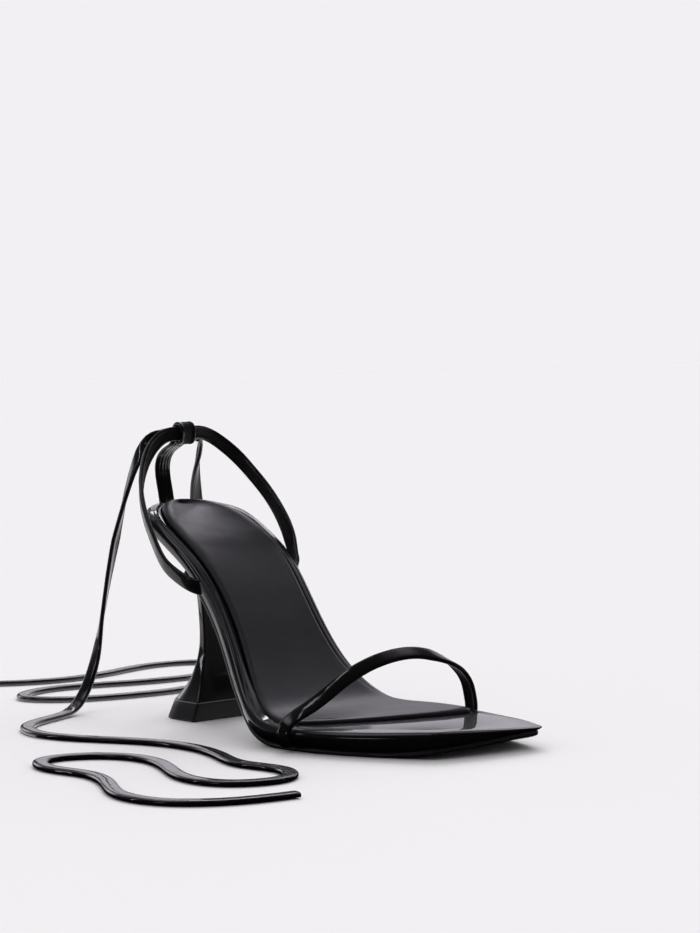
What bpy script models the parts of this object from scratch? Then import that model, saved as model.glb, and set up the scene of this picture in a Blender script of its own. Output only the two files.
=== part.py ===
"""Lace-up heeled sandal, right foot, standing on its sole: toe towards -Y, floor at z = 0."""

import bmesh
import bpy
import numpy as np

MM = 0.001

# Driving sizes, in mm. S runs from the back of the heel seat to the toe, X across the shoe.
SEAT_HEIGHT = 98.0
NEAR_LENGTH = 222.4
FAR_LENGTH = 229.5
SEAT_START = 5.0
SEAT_ROUND = 29.0
BOARD = 6.6
SOLE_GAP = 0.35
OUTSOLE = 1.8
SOCK_INSET = 6.2
SOCK_RISE = 1.9
SOCK_ENDS = (160.0, 187.0)
SOCK_BULGE = 6.0
RECESS = 1.0
STRAP_WIDTH = 6.6
STRAP_THICK = 2.0
TOE_STRAP_WIDTH = 6.5
TAB_WIDTH = 8.4
TAB_THICK = 1.5
LIFT_HEIGHT = 8.0
BREAST = 55.0
TREAD_END = 190.0
TOE_SPRING = 0.0035
TOE_TWIST = 0.16
ARCH_END = 118.0
ARCH_BLEND = 30.0
TUCK_START = 108.0
TUCK_BLEND = 40.0
TIP_START = 185.0
TIP_BLEND = 30.0
TIP_UPRIGHT = 0.8
HEEL_RINGS = 17
LIFT_FLARE = 2.7
LIFT_EASE = 0.3
CENTRE_X = -2.6
CENTRE_S = 114.85
TIE_SPACING = 13.0
BLACK = (0.012, 0.012, 0.013)

# Rim of the platform: S, height as a share of SEAT_HEIGHT, lateral edge X, medial edge X, and how much
# higher the far side is.
RIM = np.array(
    [
        (0, 1.012, -27.8, 28.5, 0.0),
        (27, 0.965, -28.4, 28.5, 0.0),
        (45, 0.876, -29.6, 29.3, 0.0),
        (65, 0.752, -30.2, 27.9, 0.0),
        (90, 0.508, -32.6, 23.8, 0.0),
        (112, 0.273, -40.2, 24.2, 0.0),
        (132, 0.136, -47.4, 31.2, 0.4),
        (152, 0.108, -48.6, 38.9, 0.8),
        (172, 0.107, -45.4, 41.7, 0.4),
        (190, 0.106, -38.6, 41.2, -0.6),
        (208, 0.109, -29.2, 38.5, -1.4),
        (224, 0.110, -20.0, 33.5, -2.2),
        (238, 0.100, -12.5, 28.0, -2.8),
    ]
)

# Flared heel: share of the way down, back S, front S, half width.
HEEL = np.array(
    [
        (0.00, 16.5, 52.5, 22.8),
        (0.05, 24.5, 51.6, 20.2),
        (0.12, 32.0, 50.2, 17.2),
        (0.25, 38.0, 48.4, 13.8),
        (0.40, 39.6, 47.4, 12.0),
        (0.55, 39.8, 46.8, 11.2),
        (0.70, 39.2, 46.8, 11.6),
        (0.82, 36.4, 47.6, 13.8),
        (0.92, 31.4, 50.2, 17.2),
        (1.00, 24.2, 53.6, 21.1),
    ]
)

# Centre line of the toe strap: X, S, Z.
TOE_STRAP = [
    (-47.8, 156, 2.8), (-50.2, 156.4, 6.5), (-49.4, 157, 10.9), (-44.6, 157.8, 14.9), (-36.7, 158.8, 18.6),
    (-28, 159.6, 23.4), (-19, 160.4, 28.5), (-10, 161.4, 32.6), (0, 162.4, 35.4), (10, 163.4, 36.7),
    (18, 164.2, 36.4), (26, 165, 34.6), (33.2, 165.8, 31.6), (39.4, 166.6, 27.2), (43.2, 167.2, 21.8),
    (44.8, 167.7, 15), (44.9, 168, 9), (42.3, 168, 3.6),
]
# Centre lines of the two ankle straps, from the loop to the sole: X, S, Z.
NEAR_STRAP = [
    (-3.2, 20.2, 131.0), (-9.5, 18.6, 130.2), (-16, 17.8, 125.8), (-22, 19.2, 118.4), (-27.8, 23.8, 109.5),
    (-32, 30, 101), (-34.8, 38, 91), (-36, 46, 81), (-36, 53, 73.2), (-34.6, 60.5, 68.2), (-32.3, 69.5, 63.6),
]
FAR_STRAP = [
    (3.2, 20.2, 131.0), (9, 19.2, 130.9), (15, 18.8, 129.2), (22, 20.4, 124.5), (27.4, 23.8, 118.6),
    (31, 29.2, 111.6), (33.3, 36, 104.2), (34, 42.8, 97.3), (33.6, 49, 91), (32.8, 54.5, 84.5), (31.3, 59.5, 77.2),
    (29.9, 63.5, 71.5), (29.2, 66, 68),
]
# Centre line of the heel tab in the plane X = 0: S, Z.
HEEL_TAB = [
    (3.8, 91.5), (3.8, 97), (2.8, 103), (1.4, 109), (1.0, 114.5), (2.6, 119.2), (6.4, 122.6), (10.8, 124.6),
    (14.4, 126.8), (15.8, 130), (15.9, 132.8), (17.2, 134.8), (19.4, 135.6), (21.7, 134.8), (22.8, 132.8),
    (22.8, 129.8), (22.1, 127.5), (20.4, 126.4), (18.4, 126.4),
]
# Centre line of the two tails past the crossing, behind the straps: X, S, Z.
TAILS = [(-9.5, 15.8, 129.9), (-5, 18.0, 130.7), (0, 18.9, 131), (5, 18.0, 130.7), (9.5, 15.8, 129.9)]
# Routes of the two ties, from the loop to the free end: X, S, Z.
NEAR_TIE = [
    (-9.95, 15.6, 129.8), (-13, 14.1, 129.1), (-16.2, 10.5, 125.2), (-18, 3.5, 115), (-20, -4, 96), (-23, -10, 72),
    (-27, -14, 44), (-33, -15, 19), (-44, -12, 4.5), (-62, -3, 1.4), (-83, 9, 1.4), (-95, 32, 1.4), (-91, 60, 1.4),
    (-78, 88, 1.4), (-72, 117, 1.4), (-77, 147, 1.4), (-84, 173, 1.4), (-82, 197, 1.4), (-95, 215, 1.4),
    (-115, 208, 1.4), (-120, 184, 1.4), (-111, 159, 1.4), (-104, 133, 1.4), (-114, 108, 1.4), (-133, 102, 1.4),
    (-144, 119, 1.4), (-142, 146, 1.4), (-149, 172, 1.4), (-160, 197, 1.4), (-157, 224, 1.4), (-138, 241, 1.4),
    (-113, 247, 1.4),
]
FAR_TIE = [
    (9.95, 15.6, 129.8), (13, 14.1, 129.1), (15.8, 10.5, 125.2), (18.5, 3, 114), (23, -4.5, 98), (28.5, -10, 76),
    (33, -13, 50), (39, -14, 24), (50, -12, 5.5), (68, -6, 1.4), (91, -3, 1.4), (110, -14, 1.4), (112, -36, 1.4),
    (92, -49, 1.4), (62, -46, 1.4), (32, -38, 1.4), (2, -41, 1.4), (-24, -52, 1.4), (-35, -71, 1.4),
    (-22, -88, 1.4), (5, -90, 1.4), (34, -80, 1.4), (64, -75, 1.4), (93, -82, 1.4), (112, -100, 1.4),
    (107, -122, 1.4), (82, -132, 1.4), (52, -124, 1.4), (24, -118, 1.4), (-2, -124, 1.4), (-22, -138, 1.4),
]
# Turn of a strap about its route: share of its length, degrees (90 stands on edge, 0 lies flat).
TIE_ROLLS = [(0, 90), (0.02, 80), (0.08, 0), (1, 0)]
ANKLE_ROLLS = [
    (0, 90), (0.06, 98), (0.12, 108), (0.2, 102), (0.3, 90), (0.7, 90), (0.8, 106), (0.86, 122), (0.9, 126),
    (0.94, 112), (1, 96),
]
# Turn of the toe strap from lying along S: share of its length, degrees (minus drops its toe edge).
TOE_ROLLS = [
    (0, -6), (0.09, -22), (0.18, -40), (0.3, -46), (0.55, -44), (0.68, -42), (0.8, 0), (0.9, 14), (1, 8),
]


def spline(x, y):
    """Natural cubic spline through the points, as a function."""
    x = np.asarray(x, float)
    y = np.asarray(y, float).reshape(len(x), -1)
    n = len(x)
    h = np.diff(x)
    slope = np.diff(y, axis=0) / h[:, None]
    system = np.eye(n)
    right = np.zeros((n, y.shape[1]))
    for i in range(1, n - 1):
        system[i, i - 1 : i + 2] = h[i - 1], 2 * (h[i - 1] + h[i]), h[i]
        right[i] = 6 * (slope[i] - slope[i - 1])
    bend = np.linalg.solve(system, right)

    def value(at):
        at = np.atleast_1d(np.asarray(at, float))
        i = np.clip(np.searchsorted(x, at) - 1, 0, n - 2)
        d = (at - x[i])[:, None]
        step = h[i][:, None]
        first = slope[i] - step * (2 * bend[i] + bend[i + 1]) / 6
        return y[i] + d * (first + d * (bend[i] / 2 + d * (bend[i + 1] - bend[i]) / (6 * step)))

    return value


def smooth_path(points, spacing):
    """Points this far apart along a smooth curve through the route's own points, and the directions there."""
    points = np.asarray(points, float)
    along = np.concatenate([[0], np.cumsum(np.linalg.norm(np.diff(points, axis=0), axis=1))])
    curve = spline(along, points)
    fine = curve(np.linspace(0, along[-1], 800))
    run = np.concatenate([[0], np.cumsum(np.linalg.norm(np.diff(fine, axis=0), axis=1))])
    count = max(2, round(run[-1] / spacing) + 1)
    at = np.linspace(0, run[-1], count)
    step = np.gradient(fine, axis=0)
    path = np.stack([np.interp(at, run, fine[:, k]) for k in range(3)], axis=1)
    along = np.stack([np.interp(at, run, step[:, k]) for k in range(3)], axis=1)
    return path, along / np.linalg.norm(along, axis=1)[:, None]


RIM_CURVE = spline(RIM[:, 0], RIM[:, 1:] * np.array([SEAT_HEIGHT, 1, 1, 1]))


def rim_height(s):
    return RIM_CURVE(s)[:, 0]


def floor_height(s, across_share):
    """Underside of the outsole over the forefoot: flat tread, then toe spring, more at the big toe's corner."""
    return TOE_SPRING * (1 + TOE_TWIST * across_share) * max(s - TREAD_END, 0) ** 2


def stack_point(s, across_share, level, beyond=0.0):
    """S and Z below the rim: level 0 is the rim, 1 the board's underside, and beyond is mm past that level."""
    s = float(s)
    top = float(rim_height(s)[0]) + float(RIM_CURVE(s)[0, 3]) * across_share / 2
    pitch = np.arctan(float(rim_height(s - 0.5)[0] - rim_height(s + 0.5)[0]))
    flat = np.clip((s - ARCH_END) / ARCH_BLEND, 0, 1)
    flat = flat * flat * (3 - 2 * flat)
    low = OUTSOLE + SOLE_GAP
    board = flat * (top - floor_height(s, across_share) - low) + (1 - flat) * BOARD
    depth = level * board + beyond
    pitch = pitch * (1 - flat)
    return s - depth * np.sin(pitch), top - depth * np.cos(pitch)


def outline(
    inset,
    lengths=(NEAR_LENGTH, FAR_LENGTH),
    start=SEAT_START,
    back_round=SEAT_ROUND,
    corner=3.0,
    bulge=1.5,
    tuck=0.0,
):
    """Rows of near X, near S, far X, far S and front bulge, from back to toe, this far inside the rim.

    Tuck is the extra inset under the forefoot; the toe end stands nearly upright and has little of it.
    """
    first = start + inset
    near_run, far_run = lengths[0] - inset - first, lengths[1] - inset - first
    back = back_round * (1 - np.cos(np.linspace(0.12, np.pi / 2, 11)))
    body = np.linspace(back_round, near_run - corner, 25)[1:]
    tip = near_run - corner * np.cos(np.linspace(0, np.pi / 2, 5)[1:])
    rows = []
    for run in np.concatenate([back, body, tip]):
        share = run / near_run
        near_s, far_s = first + run, first + share * far_run
        tucked = np.clip((near_s - TUCK_START) / TUCK_BLEND, 0, 1)
        tucked *= 1 - TIP_UPRIGHT * np.clip((near_s - TIP_START) / TIP_BLEND, 0, 1)
        under = inset + tuck * tucked
        near = RIM_CURVE(near_s)[0, 1] + under
        far = RIM_CURVE(far_s)[0, 2] - under
        if run < back_round:
            left = 1 - run / back_round
            near, far = near * (1 - left**1.7) ** (1 / 1.7), far * (1 - left**2.1) ** (1 / 2.1)
        over = max(run - near_run + corner, 0) / corner
        cut = corner * (1 - np.sqrt(max(1 - over**2, 0)))
        rows.append((near + cut, near_s, far - cut, far_s, bulge * share**8))
    return np.array(rows)


def across(row, share):
    """X and S of one row at this share across, from -1 near to 1 far."""
    near_x, near_s, far_x, far_s, bulge = row
    w = (share + 1) / 2
    return near_x * (1 - w) + far_x * w, near_s * (1 - w) + far_s * w + bulge * (1 - share**2)


def place(x, s, z):
    """Model coordinates in metres from X, S and Z in mm."""
    return ((x - CENTRE_X) * MM, (CENTRE_S - s) * MM, z * MM)


def add_object(name, points, faces, colour, roughness, metallic=0.0):
    mesh = bpy.data.meshes.new(name)
    mesh.from_pydata([tuple(map(float, p)) for p in points], [], [tuple(map(int, f)) for f in faces])
    shell = bmesh.new()
    shell.from_mesh(mesh)
    bmesh.ops.recalc_face_normals(shell, faces=shell.faces)
    shell.to_mesh(mesh)
    shell.free()
    mesh.shade_smooth()
    obj = bpy.data.objects.new(name, mesh)
    bpy.context.scene.collection.objects.link(obj)
    material = bpy.data.materials.new(name)
    material.use_nodes = True
    shader = material.node_tree.nodes["Principled BSDF"]
    shader.inputs["Base Color"].default_value = (*colour, 1)
    shader.inputs["Roughness"].default_value = roughness
    shader.inputs["Metallic"].default_value = metallic
    mesh.materials.append(material)
    return obj


def slab(name, layers, wide, colour, roughness, hollow=None):
    """Closed sole-shaped solid from layers of (rows, level, beyond), from the top to the bottom.

    Hollow is a function of S and the share across that dips the first and last layers.
    """
    shares = np.linspace(-1, 1, wide)
    points, faces, rings = [], [], []

    def add(row, share, level, beyond, dip=0.0):
        x, s = across(row, share)
        s, z = stack_point(s, share, level, beyond + dip)
        points.append(place(x, s, z))
        return len(points) - 1

    for number, (rows, level, beyond) in enumerate(layers):
        count = len(rows)
        grid = np.full((count, wide), -1)
        capped = number in (0, len(layers) - 1)
        for i in range(count):
            for k in range(wide):
                edge = k in (0, wide - 1) or i in (0, count - 1)
                if edge or capped:
                    dip = 0.0
                    if hollow and not edge:
                        dip = hollow(across(rows[i], shares[k])[1], shares[k])
                    grid[i, k] = add(rows[i], shares[k], level, beyond, dip)
        rings.append(np.concatenate([grid[:, 0], grid[-1, 1:-1], grid[::-1, -1], grid[0, -2:0:-1]]))
        if capped:
            for i in range(count - 1):
                for k in range(wide - 1):
                    quad = (grid[i, k], grid[i + 1, k], grid[i + 1, k + 1], grid[i, k + 1])
                    faces.append(quad if number == 0 else quad[::-1])
    for upper, lower in zip(rings, rings[1:]):
        for a, b, c, d in zip(upper, np.roll(upper, -1), np.roll(lower, -1), lower):
            faces.append((a, d, c, b))
    return add_object(name, points, faces, colour, roughness)


def foot_hollow(s, share):
    """Hollow of the footbed, deepest under the heel, and of the board beneath it."""
    depth = 1.3 * np.exp(-(((s - 30) / 45) ** 2)) + 0.4
    return depth * (1 - share**2) * np.clip((175 - s) / 25, 0, 1)


def sock_rows(inset):
    return outline(SOCK_INSET + inset, SOCK_ENDS, corner=3.5, bulge=SOCK_BULGE)


def make_platform():
    """Patent-covered board with a rolled rim, and the shallow recess for the footbed."""
    layers = [
        (outline(3.2), 0, 0.0),
        (outline(1.6), 0, 0.3),
        (outline(0.5), 0.15, 0),
        (outline(0.0), 0.36, 0),
        (outline(0.2, tuck=0.8), 0.68, 0),
        (outline(0.7, tuck=1.8), 0.9, 0),
        (outline(1.5, tuck=2.4), 1, 0),
    ]
    board = slab("insole_board", layers, 7, BLACK, 0.12)
    bed = [(sock_rows(-0.4), 0, -4), (sock_rows(-0.2), 0, RECESS)]
    pocket = slab("pocket", bed, 9, BLACK, 0.12, foot_hollow)
    pocket.hide_render = True
    pocket.display_type = "WIRE"
    cut = board.modifiers.new("recess", "BOOLEAN")
    cut.operation = "DIFFERENCE"
    cut.solver = "EXACT"
    cut.object = pocket


def make_footbed():
    """Matt padded sock, its edge rounded down into the groove inside the rim."""
    layers = [
        (sock_rows(1.7), 0, -SOCK_RISE),
        (sock_rows(0.8), 0, -SOCK_RISE + 0.3),
        (sock_rows(0.2), 0, -SOCK_RISE + 1.0),
        (sock_rows(0.2), 0, RECESS - SOLE_GAP - 0.2),
        (sock_rows(0.5), 0, RECESS - SOLE_GAP),
    ]
    slab("footbed", layers, 9, (0.02, 0.02, 0.021), 0.6, foot_hollow)


def make_outsole():
    """Thin sole from the heel breast to the toe, flat on the floor under the ball of the foot."""

    def rows(inset):
        return outline(inset, start=BREAST + 4 - inset, back_round=3.0, tuck=2.4)

    layers = [
        (rows(1.6), 1, SOLE_GAP),
        (rows(1.3), 1, SOLE_GAP + 0.4),
        (rows(1.3), 1, SOLE_GAP + OUTSOLE - 0.5),
        (rows(1.8), 1, SOLE_GAP + OUTSOLE),
    ]
    slab("outsole", layers, 7, (0.02, 0.02, 0.02), 0.5)


def heel_ring(back, front, half):
    """Closed plan ring of the heel: round back, straight sides, flat breast with crisp corners."""
    centre = back + (front - back) * 0.6
    turn = np.linspace(0, np.pi, 19)
    x = -half * np.abs(np.cos(turn)) ** 0.85 * np.sign(np.cos(turn))
    s = centre - (centre - back) * np.sin(turn) ** 0.85
    sides = [(half, centre + (front - centre) * t) for t in (0.35, 0.7, 0.97)]
    breast = [(half * t, front) for t in (0.96, 0.5, 0, -0.5, -0.96)]
    return list(zip(x, s)) + sides + breast + [(-edge, along) for edge, along in reversed(sides)]


def underside():
    """Z of the board's underside as a function of S over the seat."""
    low = [stack_point(s, 0.0, 1) for s in np.linspace(0, 75, 60)]
    return spline([s for s, _ in low], [z for _, z in low])


def make_heel():
    """Flared heel with a narrow neck, fitted under the seat, and its rubber top lift."""
    under = underside()
    columns = spline(HEEL[:, 0], HEEL[:, 1:])
    shares = np.linspace(0, 1, HEEL_RINGS)
    first = heel_ring(*HEEL[0, 1:])
    tops = [float(under(s)[0, 0]) - SOLE_GAP * 1.4 for _, s in first]
    foot = LIFT_HEIGHT + SOLE_GAP
    points = []
    for share in shares:
        ring = heel_ring(*columns(share)[0])
        points += [place(x, s, top + (foot - top) * share) for (x, s), top in zip(ring, tops)]
    add_object("heel", points, tube_faces(len(shares), len(first)), BLACK, 0.12)
    points = []
    for z, grow in ((LIFT_HEIGHT, 0.0), (2 * LIFT_EASE, LIFT_FLARE), (0.0, LIFT_FLARE - LIFT_EASE)):
        back, front, half = HEEL[-1, 1:]
        ring = heel_ring(back - grow, front + grow * 0.1, half + grow)
        points += [place(x, s, z) for x, s in ring]
    add_object("top_lift", points, tube_faces(3, len(first)), (0.02, 0.02, 0.02), 0.45)


def tube_faces(rings, size):
    """Faces of a closed tube of rings, each of this many points, with flat caps."""
    faces = [tuple(range(size)), tuple(range((rings - 1) * size, rings * size))[::-1]]
    for r in range(rings - 1):
        for i in range(size):
            j = (i + 1) % size
            faces.append((r * size + i, (r + 1) * size + i, (r + 1) * size + j, r * size + j))
    return faces


def turned(sides, along, rolls):
    """Width directions square to the route, turned about it by these degrees at these shares of its length."""
    sides = sides - (sides * along).sum(axis=1)[:, None] * along
    sides /= np.linalg.norm(sides, axis=1)[:, None]
    turn = np.radians(np.interp(np.linspace(0, 1, len(along)), *zip(*rolls)))[:, None]
    return np.cos(turn) * sides + np.sin(turn) * np.cross(sides, along)


def ribbon(name, path, along, sides, width, thick=STRAP_THICK):
    """Flat strap with rounded edges along a path in model directions and mm."""
    sides = sides - (sides * along).sum(axis=1)[:, None] * along
    sides /= np.linalg.norm(sides, axis=1)[:, None]
    normals = np.cross(sides, along)
    w, t, c = width / 2, thick / 2, thick * 0.3
    half = [(w, c - t), (w, t - c), (w - c, t), (c - w, t)]
    section = half + [(-a, -b) for a, b in half]
    points = []
    for spot, side, normal in zip(path, sides, normals):
        points += [(spot + a * side + b * normal) * MM for a, b in section]
    return add_object(name, points, tube_faces(len(path), len(section)), BLACK, 0.12)


def route(points, spacing):
    """Smooth path through rows of X, S, Z, in model directions and mm, and its directions."""
    return smooth_path([(x - CENTRE_X, CENTRE_S - s, z) for x, s, z in points], spacing)


def make_straps():
    """Toe strap, heel tab with its tunnel loop, and the ankle straps joined where they cross in the loop."""
    path, along = route(TOE_STRAP, 3.2)
    sides = np.tile((0.0, 1.0, 0.0), (len(path), 1))
    ribbon("toe_strap", path, along, turned(sides, along, TOE_ROLLS), TOE_STRAP_WIDTH)
    path, along = route([(0, s, z) for s, z in HEEL_TAB], 1.6)
    ribbon("heel_tab", path, along, np.tile((1.0, 0.0, 0.0), (len(path), 1)), TAB_WIDTH, TAB_THICK)
    path, along = route(NEAR_STRAP[::-1] + FAR_STRAP, 4.0)
    sides = turned(np.cross(along, (0, 0, 1)), along, ANKLE_ROLLS)
    straps = ribbon("ankle_straps", path, along, sides, STRAP_WIDTH)
    path, along = route(TAILS, 2.5)
    sides = np.cross(np.cross(along, (0, 0, 1)), along)
    tails = ribbon("tails", path, along, sides, STRAP_WIDTH - 0.1)
    tails.hide_render = True
    tails.display_type = "WIRE"
    union = straps.modifiers.new("crossing", "BOOLEAN")
    union.operation = "UNION"
    union.solver = "EXACT"
    union.object = tails


def make_ties():
    """The two ties beyond the loop, off the leg: they hang down behind the heel and lie loose on the floor."""
    for name, points in (("tie_near", NEAR_TIE), ("tie_far", FAR_TIE)):
        path, along = route(points, TIE_SPACING)
        ribbon(name, path, along, turned(np.cross(along, (0, 0, 1)), along, TIE_ROLLS), STRAP_WIDTH)


for old in list(bpy.data.objects):
    bpy.data.objects.remove(old, do_unlink=True)
make_platform()
make_footbed()
make_outsole()
make_heel()
make_straps()
make_ties()
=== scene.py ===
"""Lace-up heeled sandal in black patent leather, right foot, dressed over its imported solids."""

import bpy
import numpy as np
from mathutils import Matrix, Vector


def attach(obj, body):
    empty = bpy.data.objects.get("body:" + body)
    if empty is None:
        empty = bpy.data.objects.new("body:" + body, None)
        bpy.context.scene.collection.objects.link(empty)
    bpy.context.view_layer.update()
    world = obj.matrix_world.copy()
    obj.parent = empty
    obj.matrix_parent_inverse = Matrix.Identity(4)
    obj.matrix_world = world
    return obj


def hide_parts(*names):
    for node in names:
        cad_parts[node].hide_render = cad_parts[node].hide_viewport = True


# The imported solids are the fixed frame. Sizes below are in mm: X runs across the shoe, S from the
# back of the heel seat to the toe, and Z up from the floor, as in the part's source.
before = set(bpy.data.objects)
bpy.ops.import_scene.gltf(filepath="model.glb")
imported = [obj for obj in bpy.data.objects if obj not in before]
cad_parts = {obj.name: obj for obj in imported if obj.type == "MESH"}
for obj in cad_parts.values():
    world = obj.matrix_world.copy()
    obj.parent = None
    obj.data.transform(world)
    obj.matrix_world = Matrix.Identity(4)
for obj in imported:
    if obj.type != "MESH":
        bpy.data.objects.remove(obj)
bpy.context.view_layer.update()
MM = 0.001
CENTRE_X = -2.6
CENTRE_S = 114.85


def place(x, s, z):
    """Model coordinates in metres, as an array of points, from X, S and Z in mm."""
    x, s, z = np.broadcast_arrays(x, s, z)
    return np.stack([x - CENTRE_X, CENTRE_S - s, z], axis=-1) * MM


# The camera stands off the outer side of the toe, a little above the heel seat, with a long lens and
# a slight roll, as the photograph's did.
CAMERA_TURN, CAMERA_TILT, CAMERA_ROLL = np.radians((-38.7268, 2.7702, 1.5403))
CAMERA_SPOT = place(-722.23, 1044.14, 173.65)
CAMERA_LENS = 102.796
CAMERA_SENSOR = 36
backward = np.array(
    [
        np.sin(CAMERA_TURN) * np.cos(CAMERA_TILT),
        -np.cos(CAMERA_TURN) * np.cos(CAMERA_TILT),
        np.sin(CAMERA_TILT),
    ]
)
level = np.array([np.cos(CAMERA_TURN), np.sin(CAMERA_TURN), 0.0])
upward = np.cross(backward, level)
rightward = np.cos(CAMERA_ROLL) * level - np.sin(CAMERA_ROLL) * upward
upward = np.sin(CAMERA_ROLL) * level + np.cos(CAMERA_ROLL) * upward
camera = bpy.data.objects.new("camera", bpy.data.cameras.new("camera"))
camera.data.sensor_width = CAMERA_SENSOR
camera.data.lens = CAMERA_LENS
camera.data.clip_start = 0.05
camera.data.clip_end = 30
camera_axes = Matrix(np.stack([rightward, upward, backward], axis=1).tolist()).to_4x4()
camera.matrix_world = Matrix.Translation(CAMERA_SPOT.tolist()) @ camera_axes
bpy.context.scene.collection.objects.link(camera)
bpy.context.scene.camera = camera

# Platform: a fibreboard insole with its shank, padded at the edge and wrapped in patent leather. The
# cover is rolled over the rim, glued under the edge, and leaves a shallow bed for the sock.
SEAT_HEIGHT = 98.0
NEAR_LENGTH = 222.4
FAR_LENGTH = 229.5
SEAT_START = 5.0
SEAT_ROUND = 29.0
BOARD = 6.6
SOLE_GAP = 0.35
OUTSOLE = 1.8
SOCK_INSET = 6.2
SOCK_RISE = 1.9
SOCK_ENDS = (160.0, 187.0)
SOCK_BULGE = 6.0
RECESS = 1.0
TREAD_END = 190.0
TOE_SPRING = 0.0035
TOE_TWIST = 0.16
ARCH_END = 118.0
ARCH_BLEND = 30.0
TUCK_START = 108.0
TUCK_BLEND = 40.0
TIP_START = 185.0
TIP_BLEND = 30.0
TIP_UPRIGHT = 0.8
WALL_RINGS = 22
# Rim: S, height as a share of SEAT_HEIGHT, lateral edge X, medial edge X, far side's extra height.
RIM = np.array(
    [
        (0, 1.012, -27.8, 28.5, 0.0),
        (27, 0.965, -28.4, 28.5, 0.0),
        (45, 0.876, -29.6, 29.3, 0.0),
        (65, 0.752, -30.2, 27.9, 0.0),
        (90, 0.508, -32.6, 23.8, 0.0),
        (112, 0.273, -40.2, 24.2, 0.0),
        (132, 0.136, -47.4, 31.2, 0.4),
        (152, 0.108, -48.6, 38.9, 0.8),
        (172, 0.107, -45.4, 41.7, 0.4),
        (190, 0.106, -38.6, 41.2, -0.6),
        (208, 0.109, -29.2, 38.5, -1.4),
        (224, 0.110, -20.0, 33.5, -2.2),
        (238, 0.100, -12.5, 28.0, -2.8),
    ]
)
# Wall of the platform from its top to its underside: inset, share of the board's depth, forefoot tuck.
WALL = np.array(
    [
        (3.2, 0.0, 0.0),
        (1.7, 0.035, 0.0),
        (0.55, 0.15, 0.0),
        (0.0, 0.36, 0.0),
        (0.2, 0.68, 0.8),
        (0.7, 0.9, 1.8),
        (1.5, 1.0, 2.4),
    ]
)


def spline(x, y):
    """Natural cubic spline through the points, as a function."""
    x = np.asarray(x, float)
    y = np.asarray(y, float).reshape(len(x), -1)
    n = len(x)
    h = np.diff(x)
    slope = np.diff(y, axis=0) / h[:, None]
    system = np.eye(n)
    right = np.zeros((n, y.shape[1]))
    for i in range(1, n - 1):
        system[i, i - 1 : i + 2] = h[i - 1], 2 * (h[i - 1] + h[i]), h[i]
        right[i] = 6 * (slope[i] - slope[i - 1])
    bend = np.linalg.solve(system, right)

    def value(at):
        at = np.atleast_1d(np.asarray(at, float))
        i = np.clip(np.searchsorted(x, at) - 1, 0, n - 2)
        d = (at - x[i])[..., None]
        step = h[i][..., None]
        first = slope[i] - step * (2 * bend[i] + bend[i + 1]) / 6
        return y[i] + d * (first + d * (bend[i] / 2 + d * (bend[i + 1] - bend[i]) / (6 * step)))

    return value


rim_curve = spline(RIM[:, 0], RIM[:, 1:] * np.array([SEAT_HEIGHT, 1, 1, 1]))


def below_rim(s, share, depth_share, beyond=0.0):
    """S and Z under the rim's surface: square to it along the arch, straight down under the forefoot."""
    rim = rim_curve(s)
    top = rim[..., 0] + rim[..., 3] * share / 2
    pitch = np.arctan(rim_curve(s - 0.5)[..., 0] - rim_curve(s + 0.5)[..., 0])
    flat = np.clip((s - ARCH_END) / ARCH_BLEND, 0, 1)
    flat = flat * flat * (3 - 2 * flat)
    spring = TOE_SPRING * (1 + TOE_TWIST * share) * np.maximum(s - TREAD_END, 0) ** 2
    board = flat * (top - spring - OUTSOLE - SOLE_GAP) + (1 - flat) * BOARD
    depth = depth_share * board + beyond
    pitch = pitch * (1 - flat)
    return s - depth * np.sin(pitch), top - depth * np.cos(pitch)


def outline(
    inset,
    ends=(NEAR_LENGTH, FAR_LENGTH),
    start=SEAT_START,
    back=SEAT_ROUND,
    corner=3.0,
    bulge=1.5,
    tuck=0.0,
):
    """Rows of near X, near S, far X, far S and front bulge from the back to the toe, inside the rim."""
    first = start + inset
    near_run, far_run = ends[0] - inset - first, ends[1] - inset - first
    turn = back * (1 - np.cos(np.linspace(0.03, np.pi / 2, 36)))
    body = np.linspace(back, near_run - corner, 90)[1:]
    tip = near_run - corner * np.cos(np.linspace(0, np.pi / 2, 10)[1:])
    run = np.concatenate([turn, body, tip])
    share = run / near_run
    near_s, far_s = first + run, first + share * far_run
    tucked = np.clip((near_s - TUCK_START) / TUCK_BLEND, 0, 1)
    tucked = tucked * (1 - TIP_UPRIGHT * np.clip((near_s - TIP_START) / TIP_BLEND, 0, 1))
    under = inset + tuck * tucked
    left = np.clip(1 - run / back, 0, 1)
    near = (rim_curve(near_s)[:, 1] + under) * (1 - left**1.7) ** (1 / 1.7)
    far = (rim_curve(far_s)[:, 2] - under) * (1 - left**2.1) ** (1 / 2.1)
    over = np.clip(run - near_run + corner, 0, corner) / corner
    cut = corner * (1 - np.sqrt(np.clip(1 - over**2, 0, 1)))
    return np.stack([near + cut, near_s, far - cut, far_s, bulge * share**8], axis=1)


def piece(name, points, faces, materials, slots=None):
    """A smooth piece from points in metres, riding on the shoe."""
    mesh = bpy.data.meshes.new(name)
    mesh.from_pydata([tuple(map(float, p)) for p in points], [], [tuple(map(int, f)) for f in faces])
    for material in materials:
        mesh.materials.append(material)
    if slots is not None:
        mesh.polygons.foreach_set("material_index", slots)
    mesh.shade_smooth()
    made = bpy.data.objects.new(name, mesh)
    bpy.context.scene.collection.objects.link(made)
    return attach(made, "root")


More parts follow.
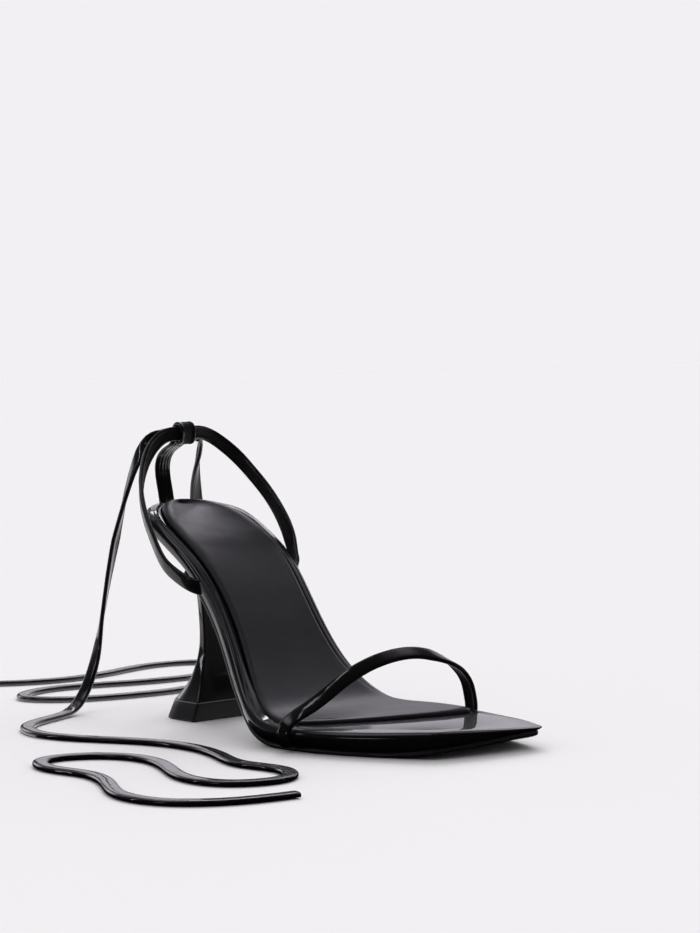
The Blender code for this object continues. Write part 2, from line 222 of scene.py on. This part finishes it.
def sole_piece(name, layers, material, across=31, hollow=None):
    """Closed sole-shaped piece from layers of (rows, depth share, mm beyond it), from the top down."""
    share = np.linspace(-1, 1, across)[None, :]
    points, faces, rings = [], [], []
    count = 0
    for number, (rows, depth_share, beyond) in enumerate(layers):
        w = (share + 1) / 2
        x = rows[:, 0:1] * (1 - w) + rows[:, 2:3] * w
        s = rows[:, 1:2] * (1 - w) + rows[:, 3:4] * w + rows[:, 4:5] * (1 - share**2)
        wide = np.broadcast_to(share, x.shape)
        dip = hollow(s, wide) if hollow else 0.0
        s, z = below_rim(s, wide, depth_share, beyond + dip)
        grid = place(x, s, z)
        index = np.arange(x.size).reshape(x.shape)
        edge = np.concatenate([index[:, 0], index[-1, 1:-1], index[::-1, -1], index[0, -2:0:-1]])
        if number in (0, len(layers) - 1):
            points.append(grid.reshape(-1, 3))
            rings.append(edge + count)
            index = index + count
            square = [index[:-1, :-1], index[1:, :-1], index[1:, 1:], index[:-1, 1:]]
            quads = np.stack(square, axis=-1).reshape(-1, 4)
            faces.append(quads if number == 0 else quads[:, ::-1])
            count += x.size
        else:
            points.append(grid.reshape(-1, 3)[edge])
            rings.append(np.arange(len(edge)) + count)
            count += len(edge)
    for upper, lower in zip(rings, rings[1:]):
        faces.append(np.stack([upper, lower, np.roll(lower, -1), np.roll(upper, -1)], axis=1))
    return piece(name, np.concatenate(points), np.concatenate(faces), [material])


def linear(colour):
    """Linear RGBA from an sRGB hex colour such as 1b1a1c."""
    shares = np.array([int(colour[i : i + 2], 16) / 255 for i in (0, 2, 4)])
    shares = np.where(shares <= 0.04045, shares / 12.92, ((shares + 0.055) / 1.055) ** 2.4)
    return (*shares.tolist(), 1.0)


def add(tree, kind, inputs=(), **settings):
    """A shader node with its settings; each input takes a value or another node's output."""
    made = tree.nodes.new("ShaderNode" + kind)
    for name, value in settings.items():
        setattr(made, name, value)
    for name, value in dict(inputs).items():
        if isinstance(value, bpy.types.NodeSocket):
            tree.links.new(value, made.inputs[name])
        else:
            made.inputs[name].default_value = value
    return made


def surface(name, **sockets):
    """A new material with these values on its shader, its tree, its shader and its coordinates."""
    material = bpy.data.materials.new(name)
    material.use_nodes = True
    tree = material.node_tree
    shader = tree.nodes["Principled BSDF"]
    for socket, value in sockets.items():
        shader.inputs[socket.replace("_", " ").title().replace("Ior", "IOR")].default_value = value
    return material, tree, shader, add(tree, "TexCoord").outputs["Object"]


def patent(name, colour, swell_mm, swell):
    """Patent leather: split leather under a thick clear polyurethane film, so black, deep and mirror-like.

    The film swells a little over the leather, which bends each reflection, and it has a fine orange peel.
    """
    material, tree, shader, where = surface(
        name,
        base_color=linear(colour),
        roughness=0.5,
        specular_ior_level=0.15,
        coat_weight=1.0,
        coat_roughness=0.035,
        coat_ior=1.5,
    )
    swell_size = {"Vector": where, "Scale": 1 / (swell_mm * MM), "Detail": 1.5, "Roughness": 0.45}
    swells = add(tree, "TexNoise", swell_size)
    peel_size = {"Vector": where, "Scale": 1 / (1.1 * MM), "Detail": 1.0, "Roughness": 0.5}
    peel = add(tree, "TexNoise", peel_size)
    low = add(tree, "Bump", {"Height": swells.outputs["Fac"], "Distance": swell * MM})
    over_low = {"Height": peel.outputs["Fac"], "Distance": 0.006 * MM, "Normal": low.outputs["Normal"]}
    fine = add(tree, "Bump", over_low)
    tree.links.new(fine.outputs["Normal"], shader.inputs["Normal"])
    tree.links.new(fine.outputs["Normal"], shader.inputs["Coat Normal"])
    return material


def sock_rows(inset):
    """Outline of the sock, this far inside its edge."""
    return outline(SOCK_INSET + inset, SOCK_ENDS, corner=3.5, bulge=SOCK_BULGE)


def foot_hollow(s, share):
    """Hollow of the sock, deepest under the heel, and of the board beneath it."""
    return (1.3 * np.exp(-(((s - 30) / 45) ** 2)) + 0.4) * (1 - share**2) * np.clip((175 - s) / 25, 0, 1)


# The padding under the cover crowns the rim a little between the bed and the wall.
RIM_CROWN = 0.22
wall_curve = spline(np.linspace(0, 1, len(WALL)), WALL)
bed_edge, rim_edge = sock_rows(-0.95), outline(WALL[0, 0])
platform_layers = [
    (sock_rows(-0.3), 0, RECESS),
    (sock_rows(-0.35), 0, 0.5),
    (sock_rows(-0.6), 0, 0.14),
    (bed_edge, 0, 0.02),
]
for share in (0.12, 0.3, 0.5, 0.7, 0.88):
    crown = RIM_CROWN * np.sin(np.pi * share)
    platform_layers.append((bed_edge * (1 - share) + rim_edge * share, 0, -crown))
for inset, depth_share, tuck in wall_curve(np.linspace(0, 1, WALL_RINGS)):
    platform_layers.append((outline(inset, tuck=tuck), depth_share, 0))
patent_cover = patent("patent_leather_cover", "08080a", 14.0, 0.05)
platform = sole_piece("platform_cover", platform_layers, patent_cover)
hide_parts("insole_board")

# Sock: thin foam under matt nappa leather, its edge turned down into the bed inside the rim. Left bare.
# Nappa gives broad soft highlights, a fine grain, and faint cloudiness where the foam gives.
sock_leather, tree, shader, where = surface(
    "matt_nappa_sock", base_color=linear("222025"), roughness=0.5, specular_ior_level=0.36
)
grain = add(tree, "TexVoronoi", {"Vector": where, "Scale": 1 / (0.75 * MM)}, feature="DISTANCE_TO_EDGE")
cloud = add(tree, "TexNoise", {"Vector": where, "Scale": 1 / (22 * MM), "Detail": 2.0})
soft = add(tree, "Bump", {"Height": cloud.outputs["Fac"], "Distance": 0.5 * MM})
over_soft = {"Height": grain.outputs["Distance"], "Strength": 0.35, "Distance": 0.05 * MM}
pores = add(tree, "Bump", {**over_soft, "Normal": soft.outputs["Normal"]})
tree.links.new(pores.outputs["Normal"], shader.inputs["Normal"])
rough_range = {"From Min": 0.3, "From Max": 0.7, "To Min": 0.34, "To Max": 0.42}
rough = add(tree, "MapRange", {"Value": cloud.outputs["Fac"], **rough_range})
tree.links.new(rough.outputs["Result"], shader.inputs["Roughness"])
sock_layers = [
    (sock_rows(3.6), 0, -SOCK_RISE - 0.05),
    (sock_rows(2.2), 0, -SOCK_RISE),
    (sock_rows(1.3), 0, -SOCK_RISE + 0.15),
    (sock_rows(0.7), 0, -SOCK_RISE + 0.45),
    (sock_rows(0.3), 0, -SOCK_RISE + 0.9),
    (sock_rows(0.2), 0, -SOCK_RISE + 1.4),
    (sock_rows(0.3), 0, RECESS - 0.2),
]
sock = sole_piece("sock", sock_layers, sock_leather, hollow=foot_hollow)
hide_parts("footbed")

# Outsole: 1.8 mm black resin-fibre sheet, die-cut, its edge inked and burnished, glued on from the heel's
# breast to the toe. The edge has a dull shine, and the tread a fine scuffed grain.
BREAST = 55.0


def tread_rows(inset):
    """Outline of the outsole, from the heel's breast to the toe."""
    return outline(inset, start=BREAST + 4 - inset, back=3.0, tuck=2.4)


tread_sheet, tree, shader, where = surface(
    "burnished_sole_sheet", base_color=linear("161617"), roughness=0.42, ior=1.5
)
scuffs = add(tree, "TexNoise", {"Vector": where, "Scale": 1 / (0.9 * MM), "Detail": 3.0})
raised = add(tree, "Bump", {"Height": scuffs.outputs["Fac"], "Strength": 0.5, "Distance": 0.05 * MM})
tree.links.new(raised.outputs["Normal"], shader.inputs["Normal"])
tread_layers = [
    (tread_rows(2.2), 1, SOLE_GAP - 0.3),
    (tread_rows(1.5), 1, SOLE_GAP - 0.2),
    (tread_rows(1.25), 1, SOLE_GAP + 0.1),
    (tread_rows(1.2), 1, SOLE_GAP + OUTSOLE - 0.7),
    (tread_rows(1.35), 1, SOLE_GAP + OUTSOLE - 0.2),
    (tread_rows(1.8), 1, SOLE_GAP + OUTSOLE),
]
tread = sole_piece("outsole_sheet", tread_layers, tread_sheet)
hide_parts("outsole")

# Heel: injection-moulded ABS, flared above and below a narrow neck, wrapped in the same patent leather
# with the cover's edges turned round the breast corners, and screwed on through the seat. In the table:
# share of the way down, back S, front S, half width.
HEEL = np.array(
    [
        (0.00, 16.5, 52.5, 22.8),
        (0.05, 24.5, 51.6, 20.2),
        (0.12, 32.0, 50.2, 17.2),
        (0.25, 38.0, 48.4, 13.8),
        (0.40, 39.6, 47.4, 12.0),
        (0.55, 39.8, 46.8, 11.2),
        (0.70, 39.2, 46.8, 11.6),
        (0.82, 36.4, 47.6, 13.8),
        (0.92, 31.4, 50.2, 17.2),
        (1.00, 24.2, 53.6, 21.1),
    ]
)
LIFT_HEIGHT = 8.0
BACK_POWER = 0.85
HEEL_RINGS = 70
SEAT_STEPS = 80


def heel_ring(back, front, half, corner=1.0):
    """Plan ring of the heel, X and S: round back, straight sides and a flat breast with small corners."""
    centre = back + (front - back) * 0.6
    turn = np.linspace(0, np.pi, 57)
    x = half * np.abs(np.cos(turn)) ** BACK_POWER * np.sign(np.cos(turn))
    s = centre - (centre - back) * np.sin(turn) ** BACK_POWER
    side = np.linspace(centre, front - corner, 9)[1:]
    bend = np.radians((18, 36, 54, 72, 90))
    breast = half * np.array((0.75, 0.5, 0.25))
    edge_x = np.concatenate([np.full(len(side), half), half - corner * (1 - np.cos(bend)), breast])
    edge_s = np.concatenate([side, front - corner * (1 - np.sin(bend)), np.full(len(breast), front)])
    right = np.stack([edge_x, edge_s], axis=1)
    middle = np.array([[0.0, front]])
    back_edge = np.stack([x, s], axis=1)
    return np.concatenate([back_edge[::-1], right, middle, right[::-1] * (-1, 1)])


def tube_faces(rings, size):
    """Faces of a closed tube of rings, each of this many points, with flat caps."""
    ring = np.arange(size)
    faces = [tuple(ring), tuple((rings - 1) * size + ring[::-1])]
    for r in range(rings - 1):
        low = r * size + ring
        faces += list(zip(low, low + size, np.roll(low, -1) + size, np.roll(low, -1)))
    return faces


seat = np.linspace(0.0, 75.0, SEAT_STEPS)
seat_low = spline(*below_rim(seat, np.zeros(SEAT_STEPS), 1))
heel_curve = spline(HEEL[:, 0], HEEL[:, 1:])
first_ring = heel_ring(*HEEL[0, 1:])
ring_tops = seat_low(first_ring[:, 1])[:, 0] + 0.15
heel_points = []
for share in np.linspace(0, 1, HEEL_RINGS):
    ring = heel_ring(*heel_curve(share)[0])
    heights = ring_tops + (LIFT_HEIGHT + 0.12 - ring_tops) * share
    heel_points.append(place(ring[:, 0], ring[:, 1], heights))
heel_patent = patent("patent_leather_heel", "0a0a0c", 18.0, 0.04)
heel_faces = tube_faces(HEEL_RINGS, len(first_ring))
heel = piece("heel_cover", np.concatenate(heel_points), heel_faces, [heel_patent])
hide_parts("heel")

# Top lift: a hard rubber block pinned under the heel, ground flush with it. Grinding leaves it dull, with
# fine level marks, and its lower edge is eased.
lift_rubber, tree, shader, where = surface(
    "ground_lift_rubber", base_color=linear("0e0d0f"), roughness=0.44, specular_ior_level=0.25
)
marks = add(tree, "Mapping", {"Vector": where, "Scale": (1 / (6 * MM), 1 / (6 * MM), 1 / (0.35 * MM))})
ground = add(tree, "TexNoise", {"Vector": marks.outputs["Vector"], "Scale": 1.0, "Detail": 2.0})
raised = add(tree, "Bump", {"Height": ground.outputs["Fac"], "Strength": 0.4, "Distance": 0.02 * MM})
tree.links.new(raised.outputs["Normal"], shader.inputs["Normal"])
# Height of each ring of the lift, and how far it stands out past the heel's foot.
LIFT_RINGS = [
    (8.0, -0.6), (8.0, -0.12), (7.9, 0.0), (6.0, 0.73), (3.0, 1.82), (0.9, 2.6), (0.35, 2.7), (0.0, 2.45),
]
back, front, half = HEEL[-1, 1:]
lift_points = []
for z, grow in LIFT_RINGS:
    ring = heel_ring(back - grow, front + grow * 0.1, half + grow)
    lift_points.append(place(ring[:, 0], ring[:, 1], z))
lift_faces = tube_faces(len(LIFT_RINGS), len(ring))
lift = piece("top_lift_block", np.concatenate(lift_points), lift_faces, [lift_rubber])
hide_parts("top_lift")

# Toe strap: a strip of patent leather, its edges folded over and glued to a matt lining, let into the side
# of the platform at both ends. It stands in a high arch, pulled slightly off square.
STRAP_WIDTH = 6.6
STRAP_THICK = 2.0
PRESSED_DEPTH = 0.3
TOE_STRAP = [
    (-47.8, 156, 2.8), (-50.2, 156.4, 6.5), (-49.4, 157, 10.9), (-44.6, 157.8, 14.9),
    (-36.7, 158.8, 18.6), (-28, 159.6, 23.4), (-19, 160.4, 28.5), (-10, 161.4, 32.6), (0, 162.4, 35.4),
    (10, 163.4, 36.7), (18, 164.2, 36.4), (26, 165, 34.6), (33.2, 165.8, 31.6), (39.4, 166.6, 27.2),
    (43.2, 167.2, 21.8), (44.8, 167.7, 15), (44.9, 168, 9), (42.3, 168, 3.6),
]


def smooth_path(route, spacing):
    """Points in model mm this far apart on a smooth curve through the route, and the directions there."""
    points = np.array([(x - CENTRE_X, CENTRE_S - s, z) for x, s, z in route], float)
    along = np.concatenate([[0], np.cumsum(np.linalg.norm(np.diff(points, axis=0), axis=1))])
    fine = spline(along, points)(np.linspace(0, along[-1], 4000))
    run = np.concatenate([[0], np.cumsum(np.linalg.norm(np.diff(fine, axis=0), axis=1))])
    at = np.linspace(0, run[-1], max(2, round(run[-1] / spacing) + 1))
    step = np.gradient(fine, axis=0)
    path = np.stack([np.interp(at, run, fine[:, k]) for k in range(3)], axis=1)
    along = np.stack([np.interp(at, run, step[:, k]) for k in range(3)], axis=1)
    return path, along / np.linalg.norm(along, axis=1)[:, None]


def turned(sides, along, rolls):
    """Widthwise directions square to the route, turned about it by these degrees at these shares of it."""
    sides = sides - (sides * along).sum(axis=1)[:, None] * along
    sides /= np.linalg.norm(sides, axis=1)[:, None]
    turn = np.radians(np.interp(np.linspace(0, 1, len(along)), *zip(*rolls)))[:, None]
    return np.cos(turn) * sides + np.sin(turn) * np.cross(sides, along)


def strap_section(width, thick, lines=()):
    """Section of a folded-edge strap, side to side and face to face, and which of its faces are lining.

    Lines are the shares of the half width at which a line is pressed into the patent face.
    """
    w, t = width / 2, thick / 2
    fold = np.linspace(0, np.pi, 9)
    side = [(w - t * 0.85 * (1 - np.sin(a)), t * np.cos(a)) for a in fold]
    pressed = [middle + step for middle in lines for step in (-0.09, 0.0, 0.09)]
    shares = sorted([-0.55, -0.2, 0.2, 0.55] + pressed)
    face = [(w * f, t + 0.16 * (1 - f * f) - (PRESSED_DEPTH if f in lines else 0)) for f in shares]
    half_lining = [(w * 0.62, -t), (w * 0.6, -t + 0.16), (w * 0.2, -t + 0.1)]
    lining = half_lining + [(-x, y) for x, y in reversed(half_lining)]
    points = face + side + lining + [(-x, y) for x, y in reversed(side)]
    first = len(face) + len(side)
    return np.array(points), range(first, first + len(lining) - 1)


def strap(
    name, paths, materials, width=STRAP_WIDTH, thick=STRAP_THICK, outward=1, ripple=0.0, lines=()
):
    """Straps swept along paths of (points, directions, widthwise directions), in model mm.

    Outward is 1 where the patent face is on the side that the width crossed with the direction points to,
    and -1 where it is opposite. Ripple is how far, in mm, the patent face swells and dips along the strap.
    """
    section, lined = strap_section(width, thick, lines)
    points, faces, slots = [], [], []
    for path, along, sides in paths:
        normals = np.cross(sides, along) * outward
        run = np.concatenate([[0], np.cumsum(np.linalg.norm(np.diff(path, axis=0), axis=1))])
        waves = 0.5 * np.sin(run / 2.3) + np.sin(run / 4.1 + 1.3) + 0.6 * np.sin(run / 1.27 + 0.4)
        swell = ripple * waves
        rings = []
        for a, b in section:
            lift = swell * (1 - (2 * a / width) ** 2) if b > 0 else 0 * swell
            rings.append(path + a * sides + (b + lift)[:, None] * normals)
        rings = np.stack(rings, axis=1)
        count = sum(len(p) for p in points)
        size = len(section)
        made = [tuple(np.array(f) + count) for f in tube_faces(len(path), size)]
        faces += made
        ring_slots = [int(len(materials) > 1 and i in lined) for i in range(size)]
        slots += [0, 0] + ring_slots * (len(path) - 1)
        points.append(rings.reshape(-1, 3) * MM)
    return piece(name, np.concatenate(points), faces, materials, slots)


strap_patent = patent("patent_leather_straps", "09090a", 5.0, 0.05)
# The lining is thin matt sheepskin: a fine grain and no shine.
lining, tree, shader, where = surface(
    "matt_strap_lining", base_color=linear("0d0d0e"), roughness=0.62, ior=1.45
)
grain = add(tree, "TexVoronoi", {"Vector": where, "Scale": 1 / (0.6 * MM)}, feature="DISTANCE_TO_EDGE")
raised_grain = {"Height": grain.outputs["Distance"], "Strength": 0.4, "Distance": 0.05 * MM}
raised = add(tree, "Bump", raised_grain)
tree.links.new(raised.outputs["Normal"], shader.inputs["Normal"])
# Turn of the width from lying along S: share of the strap's length, degrees.
TOE_ROLLS = [
    (0, -6), (0.09, -22), (0.18, -40), (0.3, -46), (0.55, -44), (0.68, -42), (0.8, 0), (0.9, 14), (1, 8),
]
path, along = smooth_path(TOE_STRAP, 0.8)
toe_strap = strap(
    "toe_strap_patent",
    [(path, along, turned(np.tile((0.0, 1.0, 0.0), (len(path), 1)), along, TOE_ROLLS))],
    [strap_patent, lining],
    width=6.5,
    outward=-1,
    ripple=0.018,
)
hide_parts("toe_strap")

# Heel tab: a narrow patent strip with three pressed lines, sewn into the back of the seat, its top end
# turned forward and back on itself into the loop that holds the ankle straps.
HEEL_TAB = [
    (3.8, 91.5), (3.8, 97), (2.8, 103), (1.4, 109), (1.0, 114.5), (2.6, 119.2), (6.4, 122.6),
    (10.8, 124.6), (14.4, 126.8), (15.8, 130), (15.9, 132.8), (17.2, 134.8), (19.4, 135.6), (21.7, 134.8),
    (22.8, 132.8), (22.8, 129.8), (22.1, 127.5), (20.4, 126.4), (18.4, 126.4),
]
path, along = smooth_path([(0, s, z) for s, z in HEEL_TAB], 0.5)
tab = strap(
    "heel_tab_patent",
    [(path, along, np.tile((1.0, 0.0, 0.0), (len(path), 1)))],
    [strap_patent, lining],
    width=8.4,
    thick=1.5,
    ripple=0.03,
    lines=(-0.42, 0.06, 0.42),
)
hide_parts("heel_tab")

# Ankle straps: one strip runs up each side of the heel seat, passes through the loop and crosses the other
# there. Patent outside, matt lining inside, lower ends let into the platform's sides.
NEAR_STRAP = [
    (-3.2, 20.2, 131.0), (-9.5, 18.6, 130.2), (-16, 17.8, 125.8), (-22, 19.2, 118.4),
    (-27.8, 23.8, 109.5), (-32, 30, 101), (-34.8, 38, 91), (-36, 46, 81), (-36, 53, 73.2),
    (-34.6, 60.5, 68.2), (-31.8, 68.5, 64.2), (-27, 73, 62),
]
FAR_STRAP = [
    (3.2, 20.2, 131.0), (9, 19.2, 130.9), (15, 18.8, 129.2), (22, 20.4, 124.5), (27.4, 23.8, 118.6),
    (31, 29.2, 111.6), (33.3, 36, 104.2), (34, 42.8, 97.3), (33.6, 49, 91), (32.8, 54.5, 84.5),
    (31.3, 59.5, 77.2), (29.6, 63.5, 71.5), (28, 66.5, 68), (24, 69.5, 65.5),
]
TAILS = [(-9.5, 15.8, 129.9), (-5, 18.0, 130.7), (0, 18.9, 131), (5, 18.0, 130.7), (9.5, 15.8, 129.9)]
# Turn of the width: share of the length from the near end to the far end, degrees, where 90 is on edge.
ANKLE_ROLLS = [
    (0, 90), (0.06, 98), (0.12, 108), (0.2, 102), (0.3, 90), (0.7, 90), (0.8, 106), (0.86, 122),
    (0.9, 126), (0.94, 112), (1, 96),
]
paths = []
for route, rolls in ((NEAR_STRAP[::-1] + FAR_STRAP, ANKLE_ROLLS), (TAILS, [(0, 90), (1, 90)])):
    path, along = smooth_path(route, 0.8)
    paths.append((path, along, turned(np.cross(along, (0, 0, 1)), along, rolls)))
ankle_straps = strap("ankle_straps_patent", paths, [strap_patent, lining], ripple=0.05)
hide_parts("ankle_straps")

# Ties: the free lengths of the same two strips, patent on both faces, cut square. Off the leg they hang from
# the loop behind the heel and lie loose on the floor.
NEAR_TIE = [
    (-9.95, 15.6, 129.8), (-13, 14.1, 129.1), (-16.2, 10.5, 125.2), (-18, 3.5, 115), (-20, -4, 96),
    (-23, -10, 72), (-27, -14, 44), (-33, -15, 19), (-44, -12, 4.5), (-62, -3, 1.4), (-83, 9, 1.4),
    (-95, 32, 1.4), (-91, 60, 1.4), (-78, 88, 1.4), (-72, 117, 1.4), (-77, 147, 1.4), (-84, 173, 1.4),
    (-82, 197, 1.4), (-95, 215, 1.4), (-115, 208, 1.4), (-120, 184, 1.4), (-111, 159, 1.4),
    (-104, 133, 1.4), (-114, 108, 1.4), (-133, 102, 1.4), (-144, 119, 1.4), (-142, 146, 1.4),
    (-149, 172, 1.4), (-160, 197, 1.4), (-157, 224, 1.4), (-138, 241, 1.4), (-113, 247, 1.4),
]
FAR_TIE = [
    (9.95, 15.6, 129.8), (13, 14.1, 129.1), (15.8, 10.5, 125.2), (18.5, 3, 114), (23, -4.5, 98),
    (28.5, -10, 76), (33, -13, 50), (39, -14, 24), (50, -12, 5.5), (68, -6, 1.4), (91, -3, 1.4),
    (110, -14, 1.4), (112, -36, 1.4), (92, -49, 1.4), (62, -46, 1.4), (32, -38, 1.4), (2, -41, 1.4),
    (-24, -52, 1.4), (-35, -71, 1.4), (-22, -88, 1.4), (5, -90, 1.4), (34, -80, 1.4), (64, -75, 1.4),
    (93, -82, 1.4), (112, -100, 1.4), (107, -122, 1.4), (82, -132, 1.4), (52, -124, 1.4), (24, -118, 1.4),
    (-2, -124, 1.4), (-22, -138, 1.4),
]
# The ties leave the loop on edge and turn over to lie flat on the floor.
TIE_ROLLS = [(0, 90), (0.02, 80), (0.08, 0), (1, 0)]
TIES = (("tie_patent_near", "tie_near", NEAR_TIE), ("tie_patent_far", "tie_far", FAR_TIE))
for name, node, route in TIES:
    path, along = smooth_path(route, 2.0)
    sides = turned(np.cross(along, (0, 0, 1)), along, TIE_ROLLS)
    tie = strap(name, [(path, along, sides)], [strap_patent], ripple=0.03)
    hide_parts(node)

# Studio: pale paper, a sky that is brightest high behind the shoe, and a broad low lamp there, so that the
# shadow falls towards the viewer. The camera sees the sky in the paper's own tone. Paper, sky and lamp are
# kept out of the reflections and the soft boxes are seen in them alone, so patent is black elsewhere.
PAPER = linear("f3f0f3")
SKY_TILT = np.radians(30)
SKY_LEAN = 1.0
LAMP_TILT = np.radians(33)
LAMP_SPREAD = np.radians(36)
LAMP_SHARE = 0.33
ahead = np.array([-backward[0], -backward[1], 0.0]) / np.hypot(backward[0], backward[1])


def stage_piece(name, points, faces, material):
    """A piece of the studio, kept out of the part."""
    mesh = bpy.data.meshes.new(name)
    mesh.from_pydata([tuple(map(float, p)) for p in points], [], faces)
    mesh.materials.append(material)
    mesh.shade_smooth()
    made = bpy.data.objects.new(name, mesh)
    bpy.context.scene.collection.objects.link(made)
    return made


paper = surface("pale_paper", base_color=PAPER, roughness=0.9, specular_ior_level=0.0)[0]
corners = [ahead * run + level * side for run, side in ((-3, -6), (-3, 6), (12, 6), (12, -6))]
floor = stage_piece("paper_floor", corners, [(0, 1, 2, 3)], paper)
floor.visible_glossy = False

# Sky and lamp together give level paper just its own tone.
sky = bpy.data.worlds.new("soft_sky")
sky.use_nodes = True
tree = sky.node_tree
bright_side = (ahead * np.cos(SKY_TILT) + np.array([0, 0, np.sin(SKY_TILT)])).tolist()
toward = add(tree, "TexCoord").outputs["Generated"]
lean = add(tree, "VectorMath", {0: toward, 1: bright_side}, operation="DOT_PRODUCT")
even = (1 - LAMP_SHARE) / (1 + SKY_LEAN * np.sin(SKY_TILT) * 2 / 3)
leaning = {0: lean.outputs["Value"], 1: SKY_LEAN * even, 2: even}
strength = add(tree, "Math", leaning, operation="MULTIPLY_ADD")
seen = add(tree, "LightPath").outputs["Is Camera Ray"]
shown = add(tree, "Background", {"Color": PAPER, "Strength": 1.0})
cast = add(tree, "Background", {"Color": (1, 1, 1, 1), "Strength": strength.outputs["Value"]})
mixed = add(tree, "MixShader", {0: seen, 1: cast.outputs["Background"], 2: shown.outputs["Background"]})
tree.links.new(mixed.outputs["Shader"], tree.nodes["World Output"].inputs["Surface"])
tree.nodes.remove(tree.nodes["Background"])
sky.cycles_visibility.glossy = False
bpy.context.scene.world = sky
lamp = bpy.data.lights.new("low_back_light", "SUN")
lamp.energy = np.pi * LAMP_SHARE / np.sin(LAMP_TILT)
lamp.angle = LAMP_SPREAD
hung_lamp = bpy.data.objects.new("low_back_light", lamp)
beam = -(ahead * np.cos(LAMP_TILT) + np.array([0, 0, np.sin(LAMP_TILT)]))
hung_lamp.rotation_mode = "QUATERNION"
hung_lamp.rotation_quaternion = Vector(beam.tolist()).to_track_quat("-Z", "Y")
hung_lamp.visible_glossy = False
bpy.context.scene.collection.objects.link(hung_lamp)
bpy.context.scene.view_settings.view_transform = "Standard"


def reflected_only(lit):
    """Show this piece of the studio in reflections and nowhere else."""
    lit.visible_camera = False
    lit.visible_diffuse = False
    lit.visible_transmission = False
    lit.visible_shadow = False


BOX_TINT = (0.95, 0.91, 1, 1)


def soft_box(name, turn, tilt, distance, width, height, glow, core):
    """A glowing panel facing the shoe, bright in the middle and fading to its edges.

    Turn is degrees round the shoe from the camera, to its right, and tilt degrees above the floor. The core
    is the evenly lit share of its width and height.
    """
    material = bpy.data.materials.new(name)
    material.use_nodes = True
    tree = material.node_tree
    tree.nodes.clear()
    where = add(tree, "TexCoord").outputs["Generated"]
    parts = add(tree, "SeparateXYZ", {"Vector": where})
    fades = []
    for axis in ("X", "Y"):
        bent = add(tree, "Math", {0: parts.outputs[axis], 1: 0.5}, operation="SUBTRACT")
        far = add(tree, "Math", {0: bent.outputs["Value"]}, operation="ABSOLUTE")
        fade = {"Value": far.outputs["Value"], "From Min": 0.5, "From Max": core / 2}
        fades.append(add(tree, "MapRange", fade, interpolation_type="SMOOTHSTEP").outputs["Result"])
    both = add(tree, "Math", {0: fades[0], 1: fades[1]}, operation="MULTIPLY")
    power = add(tree, "Math", {0: both.outputs["Value"], 1: glow}, operation="MULTIPLY")
    light = add(tree, "Emission", {"Color": BOX_TINT, "Strength": power.outputs["Value"]})
    add(tree, "OutputMaterial", {"Surface": light.outputs["Emission"]})
    turn, tilt = np.radians((turn, tilt))
    toward = -ahead * np.cos(turn) + level * np.sin(turn)
    offset = toward * np.cos(tilt) + np.array([0, 0, np.sin(tilt)])
    sideways = np.cross((0, 0, 1), offset) / np.cos(tilt)
    rise = np.cross(offset, sideways)
    panel = [(a * width / 2, b * height / 2, 0) for a, b in ((-1, -1), (1, -1), (1, 1), (-1, 1))]
    made = stage_piece(name, panel, [(0, 1, 2, 3)], material)
    spot = np.array([0, 0, 0.05]) + offset * distance
    axes = Matrix(np.stack([sideways, rise, offset], axis=1).tolist()).to_4x4()
    made.matrix_world = Matrix.Translation(spot.tolist()) @ axes
    reflected_only(made)


# Name, turn, tilt, distance, width and height in metres, glow, and the share of it that is evenly lit.
SOFT_BOXES = [
    ("box_behind", 180, 24, 2.4, 5.6, 2.3, 0.82, 0.56),
    ("box_above", 175, 66, 2.2, 3.0, 1.5, 0.7, 0.5),
    ("box_seat", 176, 36, 1.8, 1.5, 0.4, 7.0, 0.1),
    ("box_arch", 125, 58, 1.5, 1.9, 0.8, 0.9, 0.0),
    ("box_leg", 20, 76, 1.5, 0.11, 0.6, 3.6, 0.3),
    ("box_rim", -82, 60, 1.6, 1.5, 1.0, 1.5, 0.1),
    ("box_corner", -88, 12, 1.4, 0.10, 1.1, 6.0, 0.3),
    ("box_flare", -142, 15, 1.6, 1.5, 0.9, 2.0, 0.1),
    ("box_streak", -50, 5, 1.5, 0.5, 0.08, 8.0, 0.3),
    ("box_tab", 80, 8, 1.5, 0.15, 0.5, 2.5, 0.3),
]
for row in SOFT_BOXES:
    soft_box(*row)

# A glowing sheet paints the reflection of the lit paper behind the shoe; it is mirrored by the undersides of
# the shoe's edges alone.
# It lies just over the floor, from beside the shoe to 2.4 m behind it.
glow = bpy.data.materials.new("paper_reflection_glow")
glow.use_nodes = True
glow.node_tree.nodes.clear()
# The glow is a painted reflection of lit paper, seen only in the patent; the sheet is no lamp.
light = add(glow.node_tree, "Emission", {"Color": (1, 0.99, 1, 1), "Strength": 0.85})
add(glow.node_tree, "OutputMaterial", {"Surface": light.outputs["Emission"]})
over = np.array([0, 0, 0.0004])
corners = [ahead * run + level * side + over for run, side in ((0, -2), (0, 2), (2.4, 2), (2.4, -2))]
painted_paper_reflection = stage_piece("paper_reflection_glow", corners, [(0, 1, 2, 3)], glow)
reflected_only(painted_paper_reflection)
